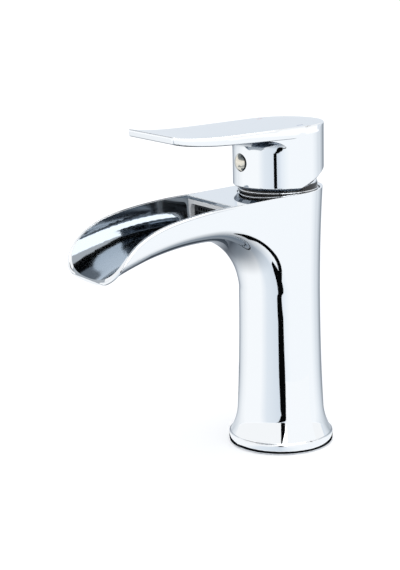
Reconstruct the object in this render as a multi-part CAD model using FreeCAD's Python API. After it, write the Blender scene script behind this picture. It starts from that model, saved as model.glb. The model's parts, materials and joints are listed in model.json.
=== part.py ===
import FreeCAD, Part
import math
import os

# Waterfall basin faucet, in millimetres, +Z up. The origin is the middle of the
# foot on the deck, and the spout points to -Y.

V = FreeCAD.Vector

# ---------------------------------------------------------------- foot and column
foot_r = 26.0
foot_h = 5.4
foot_edge = 0.7
foot_step = 1.1
flare_w = 1.4
flare_top_z = 19.0
waist_z = 78.0
column_wall = 3.2
body_wall = 2.4
swell_r = 893.0

# ---------------------------------------------------------------- spout
arch_r = 30.0
spout_depth = 20.0
rim_slope = 0.05
spout_tip_y = -106.0
spout_fall = 12.0
tip_flare = 5.8
flare_start_y = -15.0
spout_wall = 2.0
spout_floor = 2.0
trough_fullness = 2.5
corner_h = 12.0
mouth_y = -39.5
cover_t = 1.7
rim_fall_y = -45.0
lip_drop = 10.7
lip_cut = 10.0
lip_lean = 1.0
# how far the loft runs past the axis, the rim and the lip, before it is trimmed
past_axis = 3.0
past_rim = 8.0
past_lip = 6.0
# the rim's curve from where it starts to fall, as shares of its run and of its fall
rim_curve = [(0.279, 0.059), (0.541, 0.163), (0.738, 0.324), (0.869, 0.543), (0.951, 0.792)]

# ---------------------------------------------------------------- valve seat and cartridge
cartridge_r = 17.45
cartridge_gap = 0.15
cartridge_h = 27.5
shoulder_depth = 8.5
web_t = 8.0
cartridge_base_t = 6.0
base_flange_t = 2.4
seal_lip = 0.3
seal_w = 1.2
seal_h = 1.2
way_roof_t = 0.4
casing_groove_gap = 0.6
cartridge_wall = 2.05
casing_roof_t = 2.0
shoulder_w = 3.95
neck_h = 13.7
neck_wall = 2.0
rotor_fit = 0.08
rotor_gap = 0.4
disc_t = 3.5
disc_rim_gap = 0.4
disc_slide_room = 3.8
disc_offset_y = 2.0
slide_gap = 0.3
carrier_plate_t = 4.0
carrier_boss_h = 7.6
carrier_boss_x = 7.0
carrier_boss_y = 6.4
carrier_gap = 0.2
carrier_end_gap = 0.4
port_x = 8.0
port_y = 4.0
passage_r = 3.0
outlet_port_y = -7.5
disc_port_r = 2.8
mix_pocket_r = 5.5
mix_pocket_h = 1.6
mix_neck_half_w = 4.0
mix_bar_half_w = 7.2
mix_bar_h = 2.8
mix_land = 0.3

# ---------------------------------------------------------------- stem and lift
pin_depth = 4.2
lift_max_deg = 22.0
stem_side = 8.0
stem_top_gap = 5.3
ball_rise = 6.0
stem_ball_r = 2.5
stem_lower_x = 6.0
stem_lower_y = 4.4
ball_gap = 0.25
pin_r = 1.5
pin_fit = 0.05
pin_cover = 1.5
pin_end_gap = 0.7
stem_slot_gap = 0.15

# ---------------------------------------------------------------- nut and neck ring
nut_thread = 1.55
nut_flange_h = 4.5
nut_hub_w = 2.6
hub_gap = 2.0
nut_gap = 0.5
ring_gap = 1.05
bore_mouth_depth = 3.4
bore_bevel = 0.5
ring_step = 0.1
ring_h = 4.4
ring_lip_t = 1.4
ring_round = 1.2

# ---------------------------------------------------------------- handle
cap_gap = 1.4
cap_h = 30.9
cap_bevel = 1.5
cap_wall = 2.45
cap_play = 0.71
cap_top_fall = 0.4
cap_roof_t = 5.0
cap_inside_bevel = 3.0
rear_cut_deg = 22.6
rear_cut_y = -1.5
lever_y = -71.0
lever_tip_taper = 1.66
lever_corner_r = 1.2
lever_ahead = 1.0
lever_dip = 1.4
lever_low_y = -48.0
lever_under_y = -40.0
lever_rise = 0.6
lever_t = 4.6
lever_tip_t = 3.2
lever_fillet_r = 6.5
lever_edge = 0.5
lever_under_edge = 1.1
boss_wall = 3.5
boss_gap = 4.8
lug_half_w = 5.0
lug_wall = 1.0
screw_rise = 4.4
screw_r = 2.5
screw_l = 9.0
key_r = 1.25
key_depth = 2.5
plug_r = 3.7
plug_ring_gap = 0.5
plug_sink = 0.7
plug_depth = 4.4
plug_flange_t = 1.4
plug_dome_r = 9.0
mark_inset = 5.26
mark_y = 0.8
mark_l = 3.4
mark_w = 1.1
mark_depth = 0.4

# ---------------------------------------------------------------- foot block, risers and seals
insert_h = 12.0
hose_r = 4.5
hose_depth = 8.0
stud_r = 3.4
stud_y = -10.0
stud_depth = 10.0
socket_depth = 3.5
tube_wall = 1.0
ring_section = 1.2
ring_inset = 1.0
gasket_inset = 2.5
gasket_h = 1.8
recess_step = 1.2
recess_rim = 2.5

# ---------------------------------------------------------------- outlet
frame_w = 1.9
frame_t = 3.0
frame_corner_r = 2.5
frame_sill = 1.2
grille_t = 0.8
grille_pitch = 2.2
grille_wire = 0.7
outlet_seal_t = 1.0
duct_half_w = 15.0
duct_roof = 7.0
duct_floor = 4.0
duct_wall = 6.4
riser_half_w = 6.0
riser_land = 3.1
riser_depth = 2.7
riser_sill = 1.6

# ---------------------------------------------------------------- radii worked out from the above
chamber_r = cartridge_r + cartridge_gap
waist_r = chamber_r + body_wall
flare_top_r = waist_r + flare_w
flare_r = foot_r - foot_step
column_bore_r = waist_r - column_wall
gasket_out_r = foot_r - gasket_inset
deck_recess_r = column_bore_r + recess_step
gasket_in_r = deck_recess_r + recess_rim
casing_in_r = cartridge_r - cartridge_wall
fixed_disc_r = casing_in_r - disc_rim_gap
moving_disc_r = fixed_disc_r - disc_slide_room
neck_r = cartridge_r - shoulder_w
rotor_neck_r = neck_r - neck_wall - rotor_fit
nut_r = cartridge_r + nut_thread
nut_hub_r = nut_r - nut_hub_w
ring_r = nut_r - ring_step
bore_mouth_r = ring_r + ring_gap
cap_r = ring_r + cap_play + cap_wall
lever_tip_half_w = cap_r - lever_tip_taper
boss_r = stem_side / 2 + boss_wall
mark_x = cap_r - mark_inset
tube_bore_r = passage_r
tube_r = tube_bore_r + tube_wall
pivot_y = -(waist_r + arch_r)
riser_front_y = -(chamber_r + riser_depth)
duct_back_y = -(chamber_r + duct_wall)

# ---------------------------------------------------------------- heights worked out from the above
arch_top_z = waist_z + arch_r
body_top_z = arch_top_z + spout_depth
lip_z = arch_top_z - lip_drop
shoulder_z = body_top_z - shoulder_depth
web_top_z = shoulder_z - cartridge_h
web_bottom_z = web_top_z - web_t
base_top_z = web_top_z + cartridge_base_t
fixed_top_z = base_top_z + disc_t
moving_top_z = fixed_top_z + disc_t
plate_top_z = moving_top_z + carrier_plate_t
casing_roof_z = shoulder_z - casing_roof_t
neck_top_z = shoulder_z + neck_h
pivot_z = neck_top_z - pin_depth
ball_z = plate_top_z + ball_rise
disc_travel = (pivot_z - ball_z) * math.sin(math.radians(lift_max_deg))
duct_top_z = body_top_z - duct_roof
riser_top_z = shoulder_z - riser_land
bore_mouth_z = body_top_z - bore_mouth_depth
ring_top_z = body_top_z + ring_h
nut_hub_top_z = ring_top_z - ring_lip_t - hub_gap
cap_bottom_z = body_top_z + cap_gap
cap_top_z = cap_bottom_z + cap_h
lever_low_z = cap_top_z - lever_dip
lever_tip_z = cap_top_z + lever_rise
lever_under_z = lever_low_z - lever_t
boss_bottom_z = neck_top_z + boss_gap
screw_z = boss_bottom_z + screw_rise
stem_top_z = cap_top_z - cap_roof_t - stem_top_gap

# ---------------------------------------------------------------- for cutting and joining
tiny = 0.01
seam_t = 0.02
over = 1.0
far_out = 200.0


def box(x0, x1, y0, y1, z0, z1):
    return Part.makeBox(x1 - x0, y1 - y0, z1 - z0, V(x0, y0, z0))


def disc(r, z0, z1, x=0.0, y=0.0):
    return Part.makeCylinder(r, z1 - z0, V(x, y, z0), V(0, 0, 1))


def slab(y0, y1, z0, z1):
    """A box that is wider than the part."""
    return box(-far_out, far_out, y0, y1, z0, z1)


def tube(r_out, r_in, z0, z1, x=0.0, y=0.0):
    return disc(r_out, z0, z1, x, y).cut(disc(r_in, z0 - over, z1 + over, x, y))


def across(r, length, y, z):
    """A bar along X."""
    return Part.makeCylinder(r, length, V(-length / 2, y, z), V(1, 0, 0))


def forward(r, y0, y1, z, x=0.0):
    """A bar along -Y, from y0 to y1."""
    return Part.makeCylinder(r, y0 - y1, V(x, y0, z), V(0, -1, 0))


def smooth(points, start=None, end=None):
    curve = Part.BSplineCurve()
    if start is not None:
        curve.interpolate(points, InitialTangent=start, FinalTangent=end)
    else:
        curve.interpolate(points)
    return curve.toShape()


def line(a, b):
    return Part.makeLine(a, b)


def revolve(edges):
    """Turn a closed outline in the XZ plane about the Z axis."""
    face = Part.Face(Part.Wire(edges))
    return face.revolve(V(0, 0, 0), V(0, 0, 1), 360)


def revolve_points(points):
    corners = [V(r, 0, z) for r, z in points]
    return Part.Face(Part.makePolygon(corners + corners[:1])).revolve(V(0, 0, 0), V(0, 0, 1), 360)


def round_edges(shape, radius, picks):
    """Fillet the edges that the test picks."""
    return shape.makeFillet(radius, [e for e in shape.Edges if picks(e)])


# ---------------------------------------------------------------- body casting
def column_r(z):
    rise = max(z - waist_z, 0.0)
    return waist_r + swell_r - math.sqrt(swell_r ** 2 - rise ** 2)


def half_width(y, z):
    """Half the width of body and spout, from the column forward."""
    ahead = max(flare_start_y - y, 0.0) / (flare_start_y - spout_tip_y)
    return column_r(z) + tip_flare * ahead ** 2


def top_z(y):
    return body_top_z + rim_slope * y


def under_z(y):
    """The underside of the spout, ahead of the arch."""
    ahead = max(pivot_y - y, 0.0) / (pivot_y - spout_tip_y)
    return arch_top_z - spout_fall * ahead ** 2


def arc(a, b, c):
    return Part.Arc(a, b, c).toShape()


def flare_mid():
    """A point on the foot's tight concave curve."""
    low_z = foot_h + foot_edge
    r = flare_top_r + (flare_r - flare_top_r) * 0.26
    return V(r, 0, low_z + (flare_top_z - low_z) * 0.5)


def column():
    """The foot, the flare and the column, turned about Z, up past the rim."""
    high_z = body_top_z + past_rim
    mid_z = (flare_top_z + waist_z) / 2
    mid_r = waist_r + (flare_top_r - waist_r) / 4
    swell_z = (waist_z + high_z) / 2
    e = foot_edge
    cut = e - e * math.sqrt(0.5)
    outline = [
        line(V(0, 0, 0), V(foot_r - e, 0, 0)),
        arc(V(foot_r - e, 0, 0), V(foot_r - cut, 0, cut), V(foot_r, 0, e)),
        line(V(foot_r, 0, e), V(foot_r, 0, foot_h - e)),
        arc(V(foot_r, 0, foot_h - e), V(foot_r - cut, 0, foot_h - cut), V(foot_r - e, 0, foot_h)),
        line(V(foot_r - e, 0, foot_h), V(flare_r, 0, foot_h + e)),
        arc(V(flare_r, 0, foot_h + e), flare_mid(), V(flare_top_r, 0, flare_top_z)),
        arc(V(flare_top_r, 0, flare_top_z), V(mid_r, 0, mid_z), V(waist_r, 0, waist_z)),
        arc(V(waist_r, 0, waist_z), V(column_r(swell_z), 0, swell_z), V(column_r(high_z), 0, high_z)),
        line(V(column_r(high_z), 0, high_z), V(0, 0, high_z)),
        line(V(0, 0, high_z), V(0, 0, 0)),
    ]
    return revolve(outline)


def spout_section(foot, turn, near, far, depth, fullness, inset):
    """A U in the plane that leans by turn: a rounded bottom, two walls and a flat top."""
    def at(x, d):
        return V(x, foot.y + d * math.cos(turn), foot.z + d * math.sin(turn))

    def width(d):
        p = at(0, d)
        return half_width(p.y, p.z) - inset

    power = 2.0 / fullness
    bottom = []
    steps = 20
    for step in range(steps + 1):
        angle = math.pi * step / steps
        c, s = math.cos(angle), math.sin(angle)
        x = width(near + depth) * math.copysign(abs(c) ** power, c)
        bottom.append(at(x, near + depth * (1 - abs(s) ** power)))
    ends = [near + depth + (far - near - depth) * share for share in (0.0, 0.33, 0.67, 1.0)]
    left = [at(width(d), d) for d in ends]
    right = [at(-width(d), d) for d in ends]
    return Part.Wire([
        smooth(bottom),
        smooth(right),
        line(right[-1], left[-1]),
        smooth(left[::-1]),
    ])


def spout_shape(inset, floor):
    """The arch and the spout, as one smooth body that runs past the rim above and the lip ahead."""
    sections = []
    high_z = body_top_z + past_rim
    for step in range(0, 90, 9):
        turn = math.radians(step)
        blend = step / 90.0
        ease = blend * blend * (3 - 2 * blend)
        depth = waist_r * (1 - ease) + corner_h * ease
        fullness = 2.0 * (1 - ease) + trough_fullness * ease
        reach = (-pivot_y + past_axis) / math.cos(turn)
        if step:
            reach = min(reach, (high_z - waist_z) / math.sin(turn))
        foot = V(0, pivot_y, waist_z)
        sections.append(spout_section(foot, turn, arch_r + floor, reach, depth - inset / 2, fullness, inset))
    steps = 7
    for step in range(steps + 1):
        y = pivot_y + (spout_tip_y - past_lip - pivot_y) * step / steps
        near = under_z(y) - waist_z + floor
        foot = V(0, y, waist_z)
        far = high_z - waist_z
        corner = corner_h - inset / 2
        sections.append(spout_section(foot, math.pi / 2, near, far, corner, trough_fullness, inset))
    return Part.makeLoft(sections, True, False, False, 5)


def side_slab(edges):
    """An outline in the YZ plane, drawn out to both sides past the part."""
    face = Part.Face(Part.Wire(edges))
    face.translate(V(-far_out, 0, 0))
    return face.extrude(V(2 * far_out, 0, 0))


def rim_cutter():
    """What lies above the rim and ahead of the lip, seen from the side."""
    start = V(0, rim_fall_y, top_z(rim_fall_y))
    lip = V(0, spout_tip_y, lip_z)
    run, fall = lip.y - start.y, lip.z - start.z
    between = [V(0, start.y + run * along, start.z + fall * down) for along, down in rim_curve]
    rim = smooth([start] + between + [lip], V(0, -1, -rim_slope), V(0, -0.42, -1))
    low = V(0, lip.y + lip_lean, lip.z - lip_cut)
    far_low = V(0, -far_out, low.z)
    far_high = V(0, -far_out, far_out)
    back_high = V(0, far_out, far_out)
    back_low = V(0, far_out, top_z(far_out))
    return side_slab([
        line(back_low, start), rim, line(lip, low), line(low, far_low),
        line(far_low, far_high), line(far_high, back_high), line(back_high, back_low),
    ])


def outlet_pocket(depth):
    """The trough's own section, carried back under the cover from the mouth."""
    u_shape = spout_shape(spout_wall, spout_floor)
    return u_shape.common(slab(mouth_y, mouth_y + depth, waist_z, top_z(mouth_y) - cover_t))


def body_casting():
    whole = column()
    back = whole.common(slab(0, far_out, waist_z, far_out))
    low = whole.common(slab(-far_out, far_out, -over, waist_z))
    front = spout_shape(0.0, 0.0).common(slab(-far_out, 0, waist_z, far_out))
    body = low.fuse([back, front], seam_t).removeSplitter()
    trough = spout_shape(spout_wall, spout_floor).common(slab(-far_out, mouth_y, waist_z, far_out))
    body = body.cut(rim_cutter()).cut(trough)
    # valve chamber, nut thread, mouth and the hollow column
    body = body.cut(disc(chamber_r, web_top_z, shoulder_z + over))
    body = body.cut(disc(nut_r, shoulder_z, far_out))
    body = body.cut(disc(bore_mouth_r, bore_mouth_z, far_out))
    body = body.cut(Part.makeCone(bore_mouth_r, bore_mouth_r + 2 * bore_bevel, 2 * bore_bevel,
                                  V(0, 0, body_top_z - bore_bevel), V(0, -rim_slope, 1)))
    body = body.cut(disc(column_bore_r, -over, web_bottom_z))
    body = body.cut(disc(deck_recess_r, -over, insert_h))
    # pocket for the outlet frame, duct behind it and riser channel up the chamber's front
    body = body.cut(outlet_pocket(frame_t + outlet_seal_t))
    floor_z = arch_top_z + duct_floor
    body = body.cut(box(-duct_half_w, duct_half_w, mouth_y, duct_back_y, floor_z, duct_top_z))
    body = body.cut(box(-riser_half_w, riser_half_w, duct_back_y - over, 0, floor_z, riser_top_z))
    body = body.cut(box(-riser_half_w, riser_half_w, riser_front_y, 0, web_top_z + riser_sill, riser_top_z))
    for x in (-port_x, port_x):
        groove_z = web_bottom_z + ring_inset
        body = body.cut(disc(passage_r, web_bottom_z - over, web_top_z + over, x, port_y))
        body = body.cut(disc(tube_r, web_bottom_z - over, web_bottom_z + socket_depth, x, port_y))
        body = body.cut(disc(tube_r + ring_section, groove_z, groove_z + ring_section, x, port_y))
    return body.cut(tube(gasket_out_r, gasket_in_r, -over, gasket_h))


# ---------------------------------------------------------------- outlet
def rounded_rect(half_w, z0, z1, r):
    """A flat face in the XZ plane with rounded corners."""
    x, c = half_w, r * (1 - math.sqrt(0.5))
    pts = [
        (-x + r, z0), (x - r, z0), (x, z0 + r), (x, z1 - r),
        (x - r, z1), (-x + r, z1), (-x, z1 - r), (-x, z0 + r),
    ]
    v = [V(px, 0, pz) for px, pz in pts]
    return Part.Face(Part.Wire([
        line(v[0], v[1]), arc(v[1], V(x - c, 0, z0 + c), v[2]),
        line(v[2], v[3]), arc(v[3], V(x - c, 0, z1 - c), v[4]),
        line(v[4], v[5]), arc(v[5], V(-x + c, 0, z1 - c), v[6]),
        line(v[6], v[7]), arc(v[7], V(-x + c, 0, z0 + c), v[0]),
    ]))


def outlet_window(y0, y1):
    """The opening inside the outlet frame, from y0 back to y1."""
    half_w = half_width(mouth_y, arch_top_z + corner_h) - spout_wall - frame_w
    face = rounded_rect(half_w, arch_top_z + spout_floor + frame_w + frame_sill,
                        top_z(mouth_y) - cover_t - frame_w, frame_corner_r)
    face.translate(V(0, y0, 0))
    return face.extrude(V(0, y1 - y0, 0))


def outlet_frame():
    ring = outlet_pocket(frame_t)
    return ring.cut(outlet_window(mouth_y - over, mouth_y + frame_t + over))


def outlet_grille():
    back_y = mouth_y + frame_t
    plate = outlet_window(back_y - grille_t, back_y)
    bounds = plate.BoundBox
    hole = grille_pitch - grille_wire
    columns = int((bounds.XLength - grille_wire) / grille_pitch)
    rows = int((bounds.ZLength - grille_wire) / grille_pitch)
    left = -(columns * grille_pitch - grille_wire) / 2
    low = bounds.Center.z - (rows * grille_pitch - grille_wire) / 2
    holes = []
    for i in range(columns):
        for j in range(rows):
            if i in (0, columns - 1) and j in (0, rows - 1):
                continue
            x, z = left + i * grille_pitch, low + j * grille_pitch
            holes.append(box(x, x + hole, back_y - grille_t - over, back_y + over, z, z + hole))
    return plate.cut(holes)


def outlet_seal():
    back_y = mouth_y + frame_t
    ring = outlet_pocket(frame_t + outlet_seal_t).common(slab(back_y, back_y + outlet_seal_t, 0, far_out))
    return ring.cut(outlet_window(back_y - over, back_y + outlet_seal_t + over))


# ---------------------------------------------------------------- foot block, risers and seals
def group(shapes):
    return Part.makeCompound(shapes)


def base_insert():
    block = disc(deck_recess_r, 0, insert_h)
    for x in (-port_x, port_x):
        groove_z = insert_h - ring_inset - ring_section
        block = block.cut(disc(hose_r, -over, hose_depth, x, port_y))
        block = block.cut(disc(passage_r, 0, insert_h + over, x, port_y))
        block = block.cut(disc(tube_r, insert_h - socket_depth, insert_h + over, x, port_y))
        block = block.cut(disc(tube_r + ring_section, groove_z, groove_z + ring_section, x, port_y))
    return block.cut(disc(stud_r, -over, stud_depth, 0, stud_y))


def base_gasket():
    return tube(gasket_out_r, gasket_in_r, 0, gasket_h)


def inlet_tube(x):
    return tube(tube_r, tube_bore_r, insert_h - socket_depth, web_bottom_z + socket_depth, x, port_y)


def o_ring(inner_r, section, z, x=0.0, y=0.0):
    """A ring of round section that just fills its groove; z is the groove's low side."""
    return Part.makeTorus(inner_r + section / 2, section / 2, V(x, y, z + section / 2), V(0, 0, 1))


def inlet_tube_seals():
    rings = []
    for x in (-port_x, port_x):
        rings.append(o_ring(tube_r, ring_section, insert_h - ring_inset - ring_section, x, port_y))
        rings.append(o_ring(tube_r, ring_section, web_bottom_z + ring_inset, x, port_y))
    return group(rings)


# ---------------------------------------------------------------- cartridge, fixed pieces
def port_places():
    return [(-port_x, port_y), (port_x, port_y)]


def port_seal_rings(z0, z1):
    """A flat ring round each inlet port, from z0 up to z1."""
    inner_r = passage_r + seal_lip
    return [tube(inner_r + seal_w, inner_r, z0, z1, x, y) for x, y in port_places()]


def cartridge_base():
    base = disc(cartridge_r, web_top_z, web_top_z + base_flange_t)
    base = base.fuse(disc(casing_in_r, web_top_z + base_flange_t, base_top_z))
    for x, y in port_places():
        base = base.cut(disc(passage_r, web_top_z - over, base_top_z + over, x, y))
    base = base.cut(port_seal_rings(web_top_z - over, web_top_z + seal_h))
    base = base.cut(port_seal_rings(base_top_z - seal_h, base_top_z + over))
    base = base.cut(disc(passage_r, web_top_z + base_flange_t, base_top_z + over, 0, outlet_port_y))
    way_top_z = base_top_z - seal_h - way_roof_t
    way_low_z = web_top_z + base_flange_t
    return base.cut(box(-passage_r, passage_r, -chamber_r, outlet_port_y, way_low_z, way_top_z))


def cartridge_port_seals():
    return group(port_seal_rings(web_top_z, web_top_z + seal_h))


def disc_seals():
    return group(port_seal_rings(base_top_z - seal_h, base_top_z))


def fixed_disc():
    plate = disc(fixed_disc_r, base_top_z, fixed_top_z)
    for x, y in port_places() + [(0.0, outlet_port_y)]:
        plate = plate.cut(disc(disc_port_r, base_top_z - over, fixed_top_z + over, x, y))
    return plate


def cartridge_casing():
    low_z = web_top_z + base_flange_t
    hole_r = rotor_neck_r + rotor_fit
    shell = revolve_points([
        (casing_in_r, low_z), (cartridge_r, low_z), (cartridge_r, shoulder_z), (neck_r, shoulder_z),
        (neck_r, neck_top_z), (hole_r, neck_top_z), (hole_r, casing_roof_z), (casing_in_r, casing_roof_z),
    ])
    groove_z = riser_top_z + casing_groove_gap
    shell = shell.cut(tube(chamber_r, chamber_r - ring_section, groove_z, groove_z + ring_section))
    # the window that lets the water out of the base and into the riser
    way_top_z = base_top_z - seal_h - way_roof_t
    return shell.cut(box(-passage_r, passage_r, -chamber_r, 0, low_z - over, way_top_z))


def casing_o_ring():
    return o_ring(chamber_r - ring_section, ring_section, riser_top_z + casing_groove_gap)


def retaining_nut():
    hole_r = neck_r + nut_gap
    flange_z = shoulder_z + nut_flange_h
    return revolve_points([
        (hole_r, shoulder_z), (nut_r, shoulder_z), (nut_r, flange_z), (nut_hub_r, flange_z),
        (nut_hub_r, nut_hub_top_z), (hole_r, nut_hub_top_z),
    ])


def trim_ring():
    low_z = shoulder_z + nut_flange_h
    under_lip_z = ring_top_z - ring_lip_t
    hole_r = neck_r + nut_gap
    ring = revolve_points([
        (nut_hub_r, low_z), (ring_r, low_z), (ring_r, ring_top_z), (hole_r, ring_top_z),
        (hole_r, under_lip_z), (nut_hub_r, under_lip_z),
    ])
    return round_edges(ring, ring_round, lambda e: abs(e.BoundBox.ZMin - ring_top_z) < tiny
                       and abs(e.BoundBox.XMax - ring_r) < tiny)


# ---------------------------------------------------------------- cartridge, moving pieces
def moving_disc():
    """The upper disc: its pocket underneath joins the two inlets to the outlet."""
    y = disc_offset_y
    plate = disc(moving_disc_r, fixed_top_z, moving_top_z, 0, y)
    low, high = fixed_top_z - over, fixed_top_z + mix_pocket_h
    bar_y = port_y + disc_port_r + mix_land
    pocket = disc(mix_pocket_r, low, high)
    pocket = pocket.fuse([
        box(-mix_neck_half_w, mix_neck_half_w, 0, bar_y + mix_bar_h, low, high),
        box(-mix_bar_half_w, mix_bar_half_w, bar_y, bar_y + mix_bar_h, low, high),
    ])
    return plate.cut(pocket)


def disc_carrier():
    carrier = disc(moving_disc_r, moving_top_z, plate_top_z, 0, disc_offset_y)
    boss_top_z = plate_top_z + carrier_boss_h
    carrier = carrier.fuse(box(-carrier_boss_x, carrier_boss_x, -carrier_boss_y, carrier_boss_y,
                               moving_top_z, boss_top_z))
    half_x = stem_lower_x / 2 + stem_slot_gap
    half_y = stem_ball_r + ball_gap
    pocket_low_z = ball_z - stem_ball_r - carrier_end_gap
    return carrier.cut(box(-half_x, half_x, -half_y, half_y, pocket_low_z, boss_top_z + over))


def rotor():
    low_z = plate_top_z + slide_gap
    body = disc(casing_in_r - rotor_gap, low_z, casing_roof_z - slide_gap)
    body = body.fuse(disc(rotor_neck_r, low_z, neck_top_z + slide_gap))
    boss_x = carrier_boss_x + carrier_gap
    boss_y = carrier_boss_y + carrier_end_gap
    boss_top_z = plate_top_z + carrier_boss_h + slide_gap
    body = body.cut(box(-boss_x, boss_x, -boss_y - disc_travel, boss_y, low_z - over, boss_top_z))
    # the slot that the stem swings in: forward below the pin, backward above it
    lift = math.radians(lift_max_deg)
    half = stem_side / 2
    slot_x = half + stem_slot_gap
    front_y = (pivot_z - boss_top_z) * math.sin(lift) + half
    edge_y = half / math.cos(lift) + carrier_end_gap
    rear_y = (half + (neck_top_z + over - pivot_z) * math.sin(lift)) / math.cos(lift) + carrier_end_gap
    body = body.cut(box(-slot_x, slot_x, -front_y, edge_y, boss_top_z - over, pivot_z))
    body = body.cut(box(-slot_x, slot_x, -edge_y, rear_y, pivot_z - half, far_out))
    return body.cut(across(pin_r, 2 * neck_r, 0, pivot_z))


def pivot_pin():
    return across(pin_r, 2 * (rotor_neck_r - pin_end_gap), 0, pivot_z)


def stem():
    half = stem_side / 2
    shaft = box(-half, half, -half, half, pivot_z - pin_r - pin_cover, stem_top_z)
    lower_x, lower_y = stem_lower_x / 2, stem_lower_y / 2
    lower = box(-lower_x, lower_x, -lower_y, lower_y, ball_z, pivot_z - pin_r)
    ball = across(stem_ball_r, stem_lower_x, 0, ball_z)
    shape = shaft.fuse([lower, ball])
    return shape.cut(across(pin_r + pin_fit, 4 * half, 0, pivot_z))


# ---------------------------------------------------------------- handle
def lever_ends():
    """The top curve's ends, a little past the cap's back and past the tip."""
    return V(0, cap_r + lever_ahead, cap_top_z), V(0, lever_y - lever_ahead, lever_tip_z)


def lever_top():
    """The lever's top, seen from the side: nearly level, with the tip turned up."""
    back, front = lever_ends()
    dip = cap_top_z - cap_top_fall - lever_low_z
    turn_up = lever_tip_z - lever_low_z
    return smooth([
        back,
        V(0, 0, cap_top_z - cap_top_fall),
        V(0, lever_low_y * 0.54, lever_low_z + dip * 0.35),
        V(0, lever_low_y, lever_low_z),
        V(0, lever_low_y + (lever_y - lever_low_y) * 0.61, lever_low_z + turn_up * 0.28),
        front,
    ])


def lever_plate():
    """The flat lever from the side: the top curve over an underside that follows it."""
    back, front = lever_ends()
    low_back = V(0, back.y, lever_under_z)
    low_mid = V(0, lever_under_y, lever_under_z)
    low_tip = V(0, front.y, lever_tip_z - lever_tip_t)
    halfway = V(0, (low_mid.y + low_tip.y) / 2, lever_under_z + (low_tip.z - lever_under_z) * 0.2)
    under = smooth([low_mid, halfway, low_tip], V(0, -1, 0), V(0, -1, 0.33))
    return side_slab([
        lever_top(), line(front, low_tip), under, line(low_mid, low_back), line(low_back, back),
    ])


def under_top():
    """Everything below the top curve."""
    back, front = lever_ends()
    low_front, low_back = V(0, front.y, 0), V(0, back.y, 0)
    return side_slab([lever_top(), line(front, low_front), line(low_front, low_back), line(low_back, back)])


def lever_plan(inset):
    """The lever from above: its sides leave the cap's circle and narrow a little to a straight tip."""
    r, t, y = cap_r - inset, lever_tip_half_w - inset, lever_y + inset
    turn = math.atan2(y, t) + math.acos(r / math.hypot(t, y))
    side_x, side_y = r * math.cos(turn), r * math.sin(turn)
    a, b, c, d = V(-side_x, side_y, 0), V(-t, y, 0), V(t, y, 0), V(side_x, side_y, 0)
    outline = Part.Wire([line(a, b), line(b, c), line(c, d), arc(d, V(0, r, 0), a)])
    prism = Part.Face(outline).extrude(V(0, 0, far_out))
    return round_edges(prism, lever_corner_r, lambda e: e.BoundBox.ZLength > tiny
                       and abs(e.BoundBox.YMin - y) < tiny)


def lever_root():
    """The concave fillet between the cap's front and the lever's underside."""
    f, zu = lever_fillet_r, lever_under_z
    r, in_r, top = cap_r, cap_r - lever_under_edge, lever_under_z + lever_under_edge
    bend = f * (1 - math.sqrt(0.5))
    return revolve([
        line(V(in_r, 0, top), V(r + f, 0, top)),
        line(V(r + f, 0, top), V(r + f, 0, zu)),
        arc(V(r + f, 0, zu), V(r + bend, 0, zu - bend), V(r, 0, zu - f)),
        line(V(r, 0, zu - f), V(in_r, 0, zu - f)),
        line(V(in_r, 0, zu - f), V(in_r, 0, top)),
    ])


def rear_cut():
    """The wedge cut off the cap's rear, so that it clears the body when the lever lifts."""
    rise = (far_out - rear_cut_y) * math.tan(math.radians(rear_cut_deg))
    a, b = V(0, rear_cut_y, cap_bottom_z), V(0, far_out, cap_bottom_z + rise)
    c = V(0, far_out, 0)
    d = V(0, rear_cut_y, 0)
    return side_slab([line(a, b), line(b, c), line(c, d), line(d, a)])


def handle_blank():
    plate = lever_plate().common(lever_plan(0))
    under_edge_z = lever_tip_z - lever_tip_t + tiny
    plate = round_edges(plate, lever_under_edge, lambda e: e.BoundBox.ZMax < under_edge_z
                        and e.BoundBox.YMin < -over
                        and e.BoundBox.XLength + e.BoundBox.YLength < 1.5 * cap_r - e.BoundBox.YMin
                        and not (e.BoundBox.YLength < tiny and e.BoundBox.YMin > lever_y + over))
    # the seam of the cap's round wall is at the front, inside the lever
    cap = disc(cap_r, cap_bottom_z, far_out)
    cap.rotate(V(0, 0, 0), V(0, 0, 1), -90)
    cap = cap.common(under_top()).cut(rear_cut())
    low_edges = [e for e in cap.Edges if e.BoundBox.ZMin < cap_bottom_z + tiny and e.BoundBox.YLength > tiny
                 and e.BoundBox.ZMax < lever_under_z]
    cap = cap.makeChamfer(cap_bevel, low_edges)
    root = lever_root().common(lever_plan(lever_under_edge)).common(slab(-far_out, 0, 0, far_out))
    blank = plate.fuse([cap, root]).removeSplitter()
    return round_edges(blank, lever_edge, lambda e: e.BoundBox.ZMin > lever_low_z - lever_edge)


def mark_box(x):
    return box(x - mark_w / 2, x + mark_w / 2, mark_y - mark_l / 2, mark_y + mark_l / 2,
               cap_top_z - cap_top_fall - mark_depth, far_out)


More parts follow.
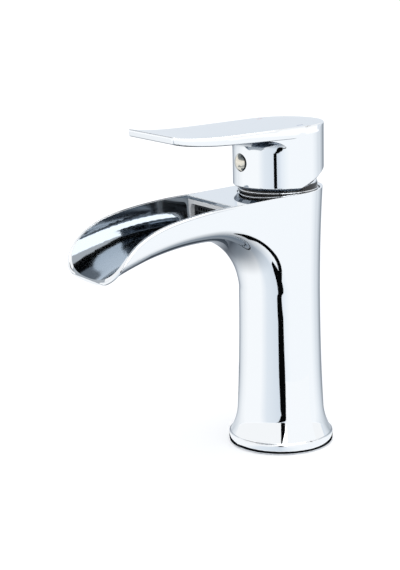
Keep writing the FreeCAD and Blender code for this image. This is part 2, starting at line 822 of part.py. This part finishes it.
def handle(blank):
    roof_z = cap_top_z - cap_roof_t
    inner_r, e = cap_r - cap_wall, cap_inside_bevel
    cavity = revolve_points([(0, 0), (inner_r, 0), (inner_r, roof_z - e), (inner_r - e, roof_z), (0, roof_z)])
    boss = disc(boss_r, boss_bottom_z, roof_z + over)
    lug = box(-lug_half_w, lug_half_w, -cap_r, 0, boss_bottom_z, screw_z + lug_half_w)
    lug = lug.common(disc(cap_r - lug_wall, 0, far_out))
    shape = blank.cut(cavity).fuse([boss, lug]).removeSplitter()
    half = stem_side / 2
    shape = shape.cut(box(-half, half, -half, half, 0, stem_top_z))
    shape = shape.cut(forward(screw_r, 0, -cap_r, screw_z))
    shape = shape.cut(forward(plug_r + plug_ring_gap, -cap_r + plug_depth, -cap_r - over, screw_z))
    for x in (-mark_x, mark_x):
        shape = shape.cut(mark_box(x))
    return shape


def set_screw():
    start = -stem_side / 2
    screw = forward(screw_r, start, start - screw_l, screw_z)
    key = forward(key_r, start - screw_l + key_depth, start - screw_l - over, screw_z)
    return screw.cut(key)


def index_plug():
    seat_y = -cap_r + plug_depth
    face_y = -cap_r + plug_sink
    rim = forward(plug_r + plug_ring_gap, seat_y, seat_y - plug_flange_t, screw_z)
    pin = forward(plug_r, seat_y, face_y, screw_z)
    dome = Part.makeSphere(plug_dome_r, V(0, face_y + plug_dome_r, screw_z))
    return rim.fuse(pin.common(dome))


body = body_casting()
blank = handle_blank()

parts = {
    "body_casting": body,
    "outlet_frame": outlet_frame(),
    "outlet_grille": outlet_grille(),
    "outlet_seal": outlet_seal(),
    "base_insert": base_insert(),
    "base_gasket": base_gasket(),
    "hot_inlet_tube": inlet_tube(-port_x),
    "cold_inlet_tube": inlet_tube(port_x),
    "inlet_tube_seals": inlet_tube_seals(),
    "cartridge_base": cartridge_base(),
    "cartridge_port_seals": cartridge_port_seals(),
    "disc_seals": disc_seals(),
    "fixed_disc": fixed_disc(),
    "cartridge_casing": cartridge_casing(),
    "casing_o_ring": casing_o_ring(),
    "retaining_nut": retaining_nut(),
    "trim_ring": trim_ring(),
    "moving_disc": moving_disc(),
    "disc_carrier": disc_carrier(),
    "rotor": rotor(),
    "pivot_pin": pivot_pin(),
    "stem": stem(),
    "handle": handle(blank),
    "set_screw": set_screw(),
    "index_plug": index_plug(),
    "hot_mark": blank.common(mark_box(-mark_x)),
    "cold_mark": blank.common(mark_box(mark_x)),
}

os.makedirs("parts", exist_ok=True)
for name, shape in parts.items():
    shape.exportStep("parts/" + name + ".step")
    print(name, "solids", len(shape.Solids), "valid", shape.isValid(), "volume", round(shape.Volume))
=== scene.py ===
import json
import math

import bmesh
import bpy
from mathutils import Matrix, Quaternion, Vector


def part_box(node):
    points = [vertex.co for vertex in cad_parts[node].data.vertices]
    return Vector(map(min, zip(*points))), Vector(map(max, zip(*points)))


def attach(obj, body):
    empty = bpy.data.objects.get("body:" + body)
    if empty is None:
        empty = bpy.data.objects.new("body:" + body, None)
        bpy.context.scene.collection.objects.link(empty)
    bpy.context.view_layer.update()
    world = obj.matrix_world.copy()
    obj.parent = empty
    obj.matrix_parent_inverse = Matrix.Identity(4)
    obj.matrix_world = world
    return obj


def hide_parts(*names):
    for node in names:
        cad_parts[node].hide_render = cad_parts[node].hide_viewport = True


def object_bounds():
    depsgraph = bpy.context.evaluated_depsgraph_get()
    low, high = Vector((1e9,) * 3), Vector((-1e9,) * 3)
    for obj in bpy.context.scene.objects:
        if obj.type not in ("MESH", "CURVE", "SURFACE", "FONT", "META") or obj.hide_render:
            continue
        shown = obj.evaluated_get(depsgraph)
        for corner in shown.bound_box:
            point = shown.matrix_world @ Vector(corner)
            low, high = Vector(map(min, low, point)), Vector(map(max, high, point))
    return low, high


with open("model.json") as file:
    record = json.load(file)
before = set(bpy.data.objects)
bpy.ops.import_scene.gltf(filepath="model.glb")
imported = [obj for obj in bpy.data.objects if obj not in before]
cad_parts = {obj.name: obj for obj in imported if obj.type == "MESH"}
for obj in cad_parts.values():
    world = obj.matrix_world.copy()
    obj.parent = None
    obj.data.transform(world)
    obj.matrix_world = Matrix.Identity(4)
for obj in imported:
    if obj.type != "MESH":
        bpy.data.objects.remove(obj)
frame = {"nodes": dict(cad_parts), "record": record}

cadLow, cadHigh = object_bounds()
cad = frame["nodes"]
mm = 0.001


def colour(code):
    # sRGB hex to the linear values that the shader wants
    parts = [int(code[i:i + 2], 16) / 255 for i in (1, 3, 5)]
    return [c / 12.92 if c <= 0.04045 else ((c + 0.055) / 1.055) ** 2.4 for c in parts] + [1.0]


def addNode(material, kind, settings=None, **links):
    # a node with its settings, and each named input either a value or another node's output
    node = material.node_tree.nodes.new("ShaderNode" + kind)
    for key, value in (settings or {}).items():
        setattr(node, key, value)
    for key, value in links.items():
        numbered = key[0] == "i" and key[1:].isdigit()
        socket = node.inputs[int(key[1:]) if numbered else key.replace("_", " ")]
        if isinstance(value, bpy.types.NodeSocket):
            material.node_tree.links.new(value, socket)
        else:
            socket.default_value = value
    return node


def startMaterial(name):
    material = bpy.data.materials.new(name)
    material.use_nodes = True
    material.node_tree.nodes.clear()
    return material


def finishMaterial(material, shader):
    output = material.node_tree.nodes.new("ShaderNodeOutputMaterial")
    material.node_tree.links.new(shader, output.inputs["Surface"])
    return material


def perMm(size):
    # the texture scale at which one cell is so many millimetres
    return 1.0 / (size * mm)


def only(obj):
    bpy.ops.object.select_all(action="DESELECT")
    obj.select_set(True)
    bpy.context.view_layer.objects.active = obj


def wear(material, obj):
    obj.data.materials.clear()
    obj.data.materials.append(material)


def makeMetal(name, shade, smoothest, roughest, grain):
    # a polished or machined metal: its roughness wanders softly between two values
    m = startMaterial(name)
    where = addNode(m, "TexCoord").outputs["Object"]
    haze = addNode(m, "TexNoise", Vector=where, Scale=perMm(grain), Detail=3.0).outputs["Fac"]
    rough = addNode(m, "MapRange", Value=haze, i3=smoothest, i4=roughest).outputs["Result"]
    shader = addNode(m, "BsdfPrincipled", Base_Color=colour(shade), Metallic=1.0, Roughness=rough)
    return finishMaterial(m, shader.outputs["BSDF"])


# polishing rounds every edge a little; painted shade darkens the plate between these two downward shares of
# a normal
edgeRoundAndUnderShade = {"edgeRound": 0.6, "brightDownTo": -0.3, "darkFrom": -0.78}


def makeChromePlate(name, shade, paintedUnderShade, smoothest, roughest):
    # chrome plate is a mirror; faces that look down get painted shade, a darker base colour
    m = startMaterial(name)
    coords = addNode(m, "TexCoord").outputs
    haze = addNode(m, "TexNoise", Vector=coords["Object"], Scale=perMm(11.0), Detail=3.0).outputs["Fac"]
    rough = addNode(m, "MapRange", Value=haze, i3=smoothest, i4=roughest).outputs["Result"]
    up = addNode(m, "SeparateXYZ", Vector=coords["Normal"]).outputs["Z"]
    under = addNode(m, "MapRange", {"interpolation_type": "SMOOTHSTEP"}, Value=up,
                    i1=edgeRoundAndUnderShade["brightDownTo"], i2=edgeRoundAndUnderShade["darkFrom"]).outputs["Result"]
    tone = addNode(m, "Mix", {"data_type": "RGBA"}, i0=under,
                   i6=colour(shade), i7=colour(paintedUnderShade)).outputs[2]
    edge = addNode(m, "Bevel", {"samples": 6}, Radius=edgeRoundAndUnderShade["edgeRound"] * mm).outputs["Normal"]
    shader = addNode(m, "BsdfPrincipled", Base_Color=tone, Metallic=1.0, Roughness=rough, Normal=edge)
    return finishMaterial(m, shader.outputs["BSDF"])


def makeTurned(name, shade, smoothest, roughest, pitch):
    # turned on a lathe: fine rings about the upright axis catch the light
    m = startMaterial(name)
    where = addNode(m, "TexCoord").outputs["Object"]
    marks = addNode(m, "TexWave", {"wave_type": "RINGS", "rings_direction": "Z"}, Vector=where,
                    Scale=perMm(pitch) / 20, Distortion=0.6, Detail=2.0).outputs["Fac"]
    rough = addNode(m, "MapRange", Value=marks, i3=smoothest, i4=roughest).outputs["Result"]
    dent = addNode(m, "Bump", Height=marks, Strength=0.12, Distance=0.02 * mm).outputs["Normal"]
    shader = addNode(m, "BsdfPrincipled", Base_Color=colour(shade), Metallic=1.0,
                     Roughness=rough, Normal=dent)
    return finishMaterial(m, shader.outputs["BSDF"])


def makeMoulded(name, dark, light, ior, smoothest, roughest, grain, dent):
    # a moulded or pressed body: its colour and sheen flow a little, over a fine grained skin
    m = startMaterial(name)
    where = addNode(m, "TexCoord").outputs["Object"]
    flow = addNode(m, "TexNoise", Vector=where, Scale=perMm(grain * 12), Detail=2.0).outputs["Fac"]
    skin = addNode(m, "TexNoise", Vector=where, Scale=perMm(grain), Detail=3.0).outputs["Fac"]
    tone = addNode(m, "Mix", {"data_type": "RGBA"}, i0=flow, i6=colour(dark), i7=colour(light)).outputs[2]
    rough = addNode(m, "MapRange", Value=skin, i3=smoothest, i4=roughest).outputs["Result"]
    bump = addNode(m, "Bump", Height=skin, Strength=dent, Distance=0.05 * mm).outputs["Normal"]
    shader = addNode(m, "BsdfPrincipled", Base_Color=tone, Roughness=rough, IOR=ior, Normal=bump)
    return finishMaterial(m, shader.outputs["BSDF"])


# bright chrome plate over polished brass or zinc: a mirror, very slightly blue, with grey painted shade on
# faces that look down
brightChrome = makeChromePlate("brightChromePlate", "#f3f6f9", "#6f7882", 0.015, 0.035)
# painted shade for hollows: the same mirror, darker
hollowShadeChrome = makeMetal("chromeWithPaintedHollowShade", "#9fa7af", 0.08, 0.13, 16.0)
# silver lacquer on the moulded outlet frame: pale and softly lit
silverLacquer = makeMoulded("silverLacquer", "#f4f6f8", "#fbfcfd", 1.5, 0.18, 0.28, 0.8, 0.04)
# nickel plated plug, domed: warm silver
plugNickel = makeMetal("nickelPlatedPlug", "#e6e1d4", 0.12, 0.2, 1.5)
# stainless steel pin and screw, ground: a soft grey gleam
groundSteel = makeMetal("groundStainlessSteel", "#b4b6b8", 0.22, 0.34, 0.6)
# machined brass, bare: yellow with turning rings
turnedBrass = makeTurned("machinedBrass", "#c8a564", 0.18, 0.34, 0.4)
# drawn copper tube, a little dulled
drawnCopper = makeTurned("drawnCopper", "#c4805c", 0.22, 0.38, 0.9)
# glass-filled nylon moulded as an open mesh: black with a dull gleam
blackNylon = makeMoulded("blackMeshNylon", "#15171a", "#24272b", 1.53, 0.28, 0.42, 0.4, 0.2)
# painted shade and dark reflection, black and glossy, on the neck's wall and round the plug's dome
paintedShadeBlack = makeMoulded("paintedBlackShade", "#050506", "#0a0b0c", 1.5, 0.1, 0.2, 0.5, 0.03)
# nitrile rubber, moulded: black and matt
nitrile = makeMoulded("nitrileRubber", "#101112", "#1a1b1c", 1.52, 0.55, 0.75, 0.3, 0.3)
# acetal mouldings of the cartridge: white, blue and grey, waxy
whiteAcetal = makeMoulded("whiteAcetal", "#cfd2cf", "#e2e4e1", 1.48, 0.3, 0.42, 0.8, 0.1)
blueAcetal = makeMoulded("blueAcetal", "#2f5390", "#3f69a8", 1.48, 0.3, 0.42, 0.8, 0.1)
greyNylon = makeMoulded("greyGlassNylon", "#3a3d41", "#4b4f54", 1.53, 0.38, 0.55, 0.5, 0.25)
# lapped alumina ceramic: ivory and nearly mirror smooth
alumina = makeMoulded("lappedAlumina", "#e6e2d6", "#f1eee4", 1.77, 0.05, 0.11, 0.6, 0.03)
# enamel filled into the two marks, fired glossy
redEnamel = makeMoulded("redEnamel", "#a8332f", "#bf4640", 1.5, 0.08, 0.16, 0.5, 0.04)
blueEnamel = makeMoulded("blueEnamel", "#2e468f", "#3f5aa6", 1.5, 0.08, 0.16, 0.5, 0.04)

slotLooks = {
    "chrome_casting": brightChrome, "chrome_handle": brightChrome, "chrome_trim": silverLacquer,
    "black_mesh": blackNylon, "rubber": nitrile, "brass": turnedBrass, "copper": drawnCopper,
    "cartridge_plastic": whiteAcetal, "carrier_plastic": blueAcetal, "rotor_plastic": greyNylon,
    "ceramic": alumina, "steel": groundSteel, "plug_metal": plugNickel,
    "red_enamel": redEnamel, "blue_enamel": blueEnamel,
}
for part in frame["record"]["subparts"]:
    for slot in cad[part["node"]].material_slots:
        slot.material = slotLooks[part["material_slot"]]
print("finishes done")


smoothing = {"weld": 0.002, "angle": 32.0}


def smoothCopy(node, name, body):
    # the CAD node's own shape, its loose triangles merged and shaded smooth up to an angle
    copy = cad[node].copy()
    copy.data = cad[node].data.copy()
    copy.name = name
    bpy.context.collection.objects.link(copy)
    only(copy)
    bpy.ops.object.mode_set(mode="EDIT")
    bpy.ops.mesh.select_all(action="SELECT")
    bpy.ops.mesh.remove_doubles(threshold=smoothing["weld"] * mm)
    bpy.ops.object.mode_set(mode="OBJECT")
    bpy.ops.mesh.customdata_custom_splitnormals_clear()
    bpy.ops.object.shade_smooth_by_angle(angle=math.radians(smoothing["angle"]))
    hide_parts(node)
    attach(copy, body)
    return copy


def giveFaces(obj, material, chosen):
    # the faces that the test chooses get a second finish
    obj.data.materials.append(material)
    slot = len(obj.data.materials) - 1
    for face in obj.data.polygons:
        if chosen(face.center / mm, face.normal):
            face.material_index = slot


# casting: column, foot and trough spout; the trough's hollow gets painted shade, a darker mirror
trough = {"from": -38.0, "lowest": 92.0, "middle": 16.0, "inward": 0.15, "upward": 0.35}


def insideTrough(c, n):
    # the walls that look at the trough's middle, and its bottom
    if c.y > trough["from"] or c.z < trough["lowest"]:
        return False
    inward = n.x * c.x < -trough["inward"] * abs(c.x)
    bottom = abs(c.x) < trough["middle"] and n.z > trough["upward"]
    return inward or bottom


casting = smoothCopy("body_casting", "chromeCasting", "root")
giveFaces(casting, hollowShadeChrome, insideTrough)

smoothCopy("handle", "chromeHandle", "handle")

# neck ring: a bright bead stands on its wall, which is black with painted shade and dark reflection, between
# body and cap
neckLook = {"wallR": 18.6, "wallTop": 131.4, "upright": 0.3, "beadR": 18.95, "bead": 0.3, "beadZ": 128.2}


def neckWall(c, n):
    # the ring's upright outer wall, below its rounded top: these faces get the painted shade
    outside = math.hypot(c.x, c.y) > neckLook["wallR"]
    return c.z < neckLook["wallTop"] and outside and abs(n.z) < neckLook["upright"]


def addNeckRing():
    ring = smoothCopy("trim_ring", "chromeNeckRing", "root")
    wear(brightChrome, ring)
    giveFaces(ring, paintedShadeBlack, neckWall)
    bpy.ops.mesh.primitive_torus_add(major_segments=128, minor_segments=12,
                                     major_radius=neckLook["beadR"] * mm, minor_radius=neckLook["bead"] * mm,
                                     location=(0, 0, neckLook["beadZ"] * mm))
    bead = bpy.context.object
    bpy.ops.object.transform_apply(location=True, rotation=True, scale=True)
    bpy.ops.object.shade_smooth()
    wear(brightChrome, bead)
    bead.select_set(True)
    ring.select_set(True)
    bpy.context.view_layer.objects.active = ring
    bpy.ops.object.join()


addNeckRing()
smoothCopy("outlet_frame", "silverOutletFrame", "root")

# index plug: a domed cap over the hole to the set screw
plugLow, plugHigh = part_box("index_plug")
plugDome = {"baseR": 4.9, "rise": 2.6, "faceY": -21.4, "collarR": 4.1, "smoothTo": 40.0,
            "z": (plugLow[2] + plugHigh[2]) / (2 * mm)}


def plugFootShade(c, n):
    # painted shadow of the hole, black, round the dome's foot
    return math.hypot(c.x, c.z - plugDome["z"]) > plugDome["collarR"]


def addPlugDome():
    middleZ, faceY = plugDome["z"] * mm, plugDome["faceY"]
    ball = (plugDome["baseR"] ** 2 + plugDome["rise"] ** 2) / (2 * plugDome["rise"])
    bpy.ops.object.select_all(action="DESELECT")
    bpy.ops.mesh.primitive_uv_sphere_add(segments=64, ring_count=32, radius=ball * mm,
                                         location=(0, (faceY - plugDome["rise"] + ball) * mm, middleZ),
                                         rotation=(math.radians(90), 0, 0))
    dome = bpy.context.object
    dome.name = "domedIndexPlug"
    bpy.ops.object.transform_apply(location=True, rotation=True, scale=True)
    bpy.ops.object.mode_set(mode="EDIT")
    bpy.ops.mesh.select_all(action="SELECT")
    bpy.ops.mesh.bisect(plane_co=(0, faceY * mm, 0), plane_no=(0, 1, 0), use_fill=True, clear_outer=True)
    bpy.ops.object.mode_set(mode="OBJECT")
    bpy.ops.object.shade_smooth_by_angle(angle=math.radians(plugDome["smoothTo"]))
    wear(plugNickel, dome)
    giveFaces(dome, paintedShadeBlack, plugFootShade)
    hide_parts("index_plug")
    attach(dome, "handle")


addPlugDome()
print("casting and handle done")

# rim bead: the rounded bright edge that runs round the trough's rim and thins out at both its ends
rimBead = {"radius": 0.75, "inset": 0.75, "clear": 0.02, "taper": 14, "endShare": 0.3,
           "from": -6.0, "lowest": 91.0, "sharp": 80.0, "outward": 0.6, "downward": -0.2,
           "lipFrom": -86.0, "lipLength": 20.0, "lipMore": 0.1}


def rimPoints():
    # the spout's outer rim edge, walked from one end to the other and set in a little
    work = bmesh.new()
    work.from_mesh(casting.data)
    links, inward, place = {}, {}, {}
    for edge in work.edges:
        if len(edge.link_faces) != 2 or edge.calc_face_angle(0) < math.radians(rimBead["sharp"]):
            continue
        middle = (edge.verts[0].co + edge.verts[1].co) / (2 * mm)
        normals = [f.normal for f in edge.link_faces]
        outer = any(n.x * middle.x > rimBead["outward"] * abs(middle.x) or n.z < rimBead["downward"]
                    for n in normals)
        if middle.y > rimBead["from"] or middle.z < rimBead["lowest"] or not outer:
            continue
        a, b = edge.verts
        for v, w in ((a, b), (b, a)):
            links.setdefault(v.index, []).append(w.index)
            inward[v.index] = inward.get(v.index, Vector()) - normals[0] - normals[1]
            place[v.index] = v.co.copy()
    work.free()
    ends = [i for i in links if len(links[i]) == 1]
    line = [min(ends, key=lambda i: place[i].x)]
    while True:
        ahead = [i for i in links[line[-1]] if i not in line]
        if not ahead:
            break
        line.append(ahead[0])
    return [place[i] + inward[i].normalized() * rimBead["inset"] * mm for i in line]


def addRimBead():
    points = rimPoints()
    curve = bpy.data.curves.new("rimBead", "CURVE")
    curve.dimensions = "3D"
    curve.bevel_depth = rimBead["radius"] * mm
    curve.bevel_resolution = 3
    curve.use_fill_caps = True
    spline = curve.splines.new("NURBS")
    last = len(points) - 1
    spline.points.add(last)
    for i, p in enumerate(points):
        alongLip = (rimBead["lipFrom"] - p.y / mm) / rimBead["lipLength"]
        atLip = 1.0 + rimBead["lipMore"] * min(1.0, max(0.0, alongLip))
        # the bead stays behind the casting's tip
        tipY = cadLow[1] + (rimBead["radius"] * atLip + rimBead["clear"]) * mm
        spline.points[i].co = (p.x, max(p.y, tipY), p.z, 1.0)
        fromEnd = min(i, last - i) + rimBead["endShare"]
        spline.points[i].radius = atLip * min(1.0, fromEnd / rimBead["taper"])
    spline.order_u = 4
    spline.use_endpoint_u = True
    spline.resolution_u = 3
    bead = bpy.data.objects.new("troughRimBead", curve)
    bpy.context.collection.objects.link(bead)
    only(bead)
    bpy.ops.object.convert(target="MESH")
    bead = bpy.context.object
    bpy.ops.object.shade_smooth()
    wear(brightChrome, bead)
    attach(bead, "root")


addRimBead()
print("rim bead done")


# strengths of floor, world and lamp; the floor's width is in metres, the lamp's turns in degrees
stageLight = {
    "floorLift": 0.2, "floorSize": 30.0, "worldSeen": 1.0, "worldFill": 0.9,
    "lamp": 0.45, "lampSpread": 70, "lampTilt": (28, 14, 0),
}


def seenRays(material):
    # 1 for what the camera and the mirrors see, 0 for the soft light
    path = addNode(material, "LightPath").outputs
    rays = {"i0": path["Is Camera Ray"], "i1": path["Is Glossy Ray"]}
    return addNode(material, "Math", {"operation": "MAXIMUM"}, **rays).outputs[0]


def makeFloorLook():
    # plain and pale: white to the camera and to the metal, and it keeps the object's soft shadow
    m = startMaterial("paleFloor")
    lift = addNode(m, "Math", {"operation": "MULTIPLY"},
                   i0=seenRays(m), i1=stageLight["floorLift"]).outputs[0]
    base = addNode(m, "BsdfDiffuse", Color=colour("#f4f5f7")).outputs[0]
    glow = addNode(m, "Emission", Color=colour("#fdfeff"), Strength=lift).outputs[0]
    return finishMaterial(m, addNode(m, "AddShader", i0=base, i1=glow).outputs[0])


def makeRoundLook():
    # what the metal sees all round: white at the sides, grey behind, pale grey in front
    m = startMaterial("greyRound")
    turned = addNode(m, "Mapping", Vector=addNode(m, "TexCoord").outputs["Object"],
                     Rotation=(0, 0, -math.radians(roundTones["behind"]))).outputs[0]
    at = addNode(m, "SeparateXYZ", Vector=turned).outputs
    turn = addNode(m, "Math", {"operation": "ARCTAN2"}, i0=at["Y"], i1=at["X"]).outputs[0]
    share = addNode(m, "Math", {"operation": "MULTIPLY_ADD"}, i0=turn, i1=0.5 / math.pi, i2=0.5).outputs[0]
    ramp = addNode(m, "ValToRGB", Fac=share)
    stops = ramp.color_ramp.elements
    stops[0].position, stops[0].color = 0.0, colour(roundTones["front"])
    stops[1].position, stops[1].color = 1.0, colour(roundTones["front"])
    for turnDeg, shade in roundTones["stops"]:
        stops.new(turnDeg % 360 / 360.0).color = colour(shade)
    glow = addNode(m, "Emission", Color=ramp.outputs["Color"], Strength=roundTones["level"])
    return finishMaterial(m, glow.outputs[0])


def addCard(name, points, look, faces=None):
    # a studio card: the camera and the shadows miss it, and only the polished metal shows it
    mesh = bpy.data.meshes.new(name)
    mesh.from_pydata([[v * mm for v in p] for p in points], [], faces or [list(range(len(points)))])
    card = bpy.data.objects.new(name, mesh)
    bpy.context.collection.objects.link(card)
    wear(look, card)
    card.visible_camera = False
    card.visible_diffuse = False
    card.visible_shadow = False


def plainLook(name, shade, level=1.0):
    m = startMaterial(name)
    return finishMaterial(m, addNode(m, "Emission", Color=colour(shade), Strength=level).outputs[0])


def addStrip(name, line, look, height=0.5):
    # a strip on the floor, given by its middle line and half width
    left, right = [], []
    for i, (x, y, half) in enumerate(line):
        before, after = line[max(i - 1, 0)], line[min(i + 1, len(line) - 1)]
        along = Vector((after[0] - before[0], after[1] - before[1])).normalized()
        left.append((x - along.y * half, y + along.x * half, height))
        right.append((x + along.y * half, y - along.x * half, height))
    n = len(line)
    addCard(name, left + right, look, faces=[[i, i + 1, n + i + 1, n + i] for i in range(n - 1)])


def addRing(name, inner, outer, low, high, look, start=0, end=360, steps=72):
    # a flat ring on the floor, or a standing curved card where both radii are the same
    points = []
    for i in range(steps + 1):
        turn = math.radians(start + (end - start) * i / steps)
        points += [(inner * math.cos(turn), inner * math.sin(turn), low),
                   (outer * math.cos(turn), outer * math.sin(turn), high)]
    faces = [[2 * i, 2 * i + 2, 2 * i + 3, 2 * i + 1] for i in range(steps)]
    addCard(name, points, look, faces=faces)


# turns are degrees from the camera's side, counted to the image's right
roundTones = {
    "behind": 145.2, "level": 1.04, "front": "#d9e1e9",
    "stops": [
        (8, "#ebf0f6"), (18, "#f4f8fb"), (28, "#fbfdff"), (94, "#fbfdff"), (109, "#edf1f5"),
        (125, "#d3d9df"), (139, "#a6adb5"), (145, "#7d848c"), (152, "#a3a9b1"), (165, "#cfd5dc"),
        (195, "#c3c9d1"), (207, "#858c95"), (216, "#b4bac2"), (228, "#dadfe4"), (246, "#f4f6f8"),
        (262, "#fdfeff"), (308, "#fdfeff"), (326, "#e6ecf2"),
    ],
}
black = plainLook("blackCard", "#060708")
charcoal = plainLook("charcoalCard", "#0f1114")
grey = plainLook("greyCard", "#858d96")
underGrey = plainLook("underGreyCard", "#69727c")
paleBlue = plainLook("paleBlueCard", "#e5ebf2")
white = plainLook("whiteCard", "#fdfeff", 1.04)
softWhite = plainLook("softboxCard", "#ffffff", 2.7)

bpy.ops.mesh.primitive_plane_add(size=stageLight["floorSize"], location=(0, 0, 0))
floor = bpy.context.object
floor.name = "studioFloor"
wear(makeFloorLook(), floor)

roundLook = makeRoundLook()
addRing("floorTones", inner=30, outer=1500, low=0.2, high=0.2, look=roundLook)
addRing("rearTones", inner=140, outer=140, low=0.4, high=150, look=roundLook, start=80, end=210, steps=30)
# a charcoal ring on the floor round the foot, seen only by the metal: painted contact shadow
addRing("footLine", inner=26.4, outer=29.0, low=0.3, high=0.3, look=charcoal)
# floor strips, each point with its half width: the column shows the first, the arch the second
mainStrip = [(86, -41, 7), (104, -55, 16), (170, -100, 28), (250, -155, 38), (430, -330, 50),
             (620, -560, 55), (800, -800, 62)]
archStrip = [(46, 7, 9), (60, 9, 11), (80, 9, 11), (104, 1, 13), (125, -10, 16), (136, -35, 15),
             (141, -56, 13), (145, -74, 9)]
addStrip("darkStrip", mainStrip, black, 0.5)
addStrip("archStrip", archStrip, black, 0.6)
addCard("lowWhite", [(43, -19, 0.6), (43, 30, 0.6), (43, 30, 30), (43, -19, 30)], white)
# a grey strip on the floor under the spout, seen only by the metal: painted shade under the spout
addStrip("underSpout", [(-38, 28, 8), (-90, 36, 16), (-165, 44, 26)], underGrey, 0.4)
addCard("darkStand", [(969, -668, 0), (1101, -492, 0), (1101, -492, 950), (969, -668, 950)], black)
addCard("ceilingFlag", [(-20, 70, 1000), (-60, 520, 1000), (-520, 480, 1000), (-1250, 320, 1000),
                        (-1150, -420, 1000), (-500, -210, 1000), (-300, -60, 1000), (-150, 20, 1000)], black)
addCard("ceilingGrey", [(-1250, 320, 1000), (-2200, 560, 1000),
                        (-2200, -700, 1000), (-1150, -420, 1000)], grey)
backLine = [(300, 1900), (-1100, 1600), (-1700, 650), (-1750, -250)]
addCard("backPale", [(x, y, z) for x, y in backLine for z in (5, 800)], paleBlue,
        faces=[[2 * i, 2 * i + 2, 2 * i + 3, 2 * i + 1] for i in range(3)])
edgeLine = [(690, 465), (480, 650), (230, 800), (0, 820), (-337, 761)]
addCard("edgeFlag", [(x, 560, z + h) for x, z in edgeLine for h in (-45, 45)], black,
        faces=[[2 * i, 2 * i + 2, 2 * i + 3, 2 * i + 1] for i in range(4)])
addCard("softRight", [(1250, -480, 80), (1250, 560, 80), (130, 560, 1660), (130, -480, 1660)], softWhite)

world = bpy.data.worlds.new("studioWorld")
bpy.context.scene.world = world
world.use_nodes = True
world.node_tree.nodes.clear()
worldLevel = addNode(world, "MapRange", Value=seenRays(world),
                     i3=stageLight["worldFill"], i4=stageLight["worldSeen"])
worldBack = addNode(world, "Background", Color=colour("#ffffff"), Strength=worldLevel.outputs["Result"])
worldOut = world.node_tree.nodes.new("ShaderNodeOutputWorld")
world.node_tree.links.new(worldBack.outputs[0], worldOut.inputs["Surface"])

# one wide soft lamp from above lights what isn't polished and gives the soft shadow
bpy.ops.object.light_add(type="SUN", rotation=[math.radians(turn) for turn in stageLight["lampTilt"]])
topLight = bpy.context.object
topLight.name = "softTopLight"
topLight.data.energy = stageLight["lamp"]
topLight.data.angle = math.radians(stageLight["lampSpread"])
topLight.visible_glossy = False

cameraPlace = {
    "from": (0.5748, -0.3995, 0.245), "to": (-0.0224, -0.0322, 0.0798),
    "roll": -1.31, "lens": 91.96,
}
bpy.ops.object.camera_add(location=cameraPlace["from"])
camera = bpy.context.object
look = Vector(cameraPlace["to"]) - Vector(cameraPlace["from"])
camera.rotation_mode = "QUATERNION"
camera.rotation_quaternion = (look.to_track_quat("-Z", "Y")
                              @ Quaternion((0, 0, 1), math.radians(cameraPlace["roll"])))
camera.data.lens = cameraPlace["lens"]
camera.data.clip_start = 0.01
bpy.context.scene.camera = camera
bpy.context.scene.view_settings.view_transform = "Standard"
print("stage and camera done")
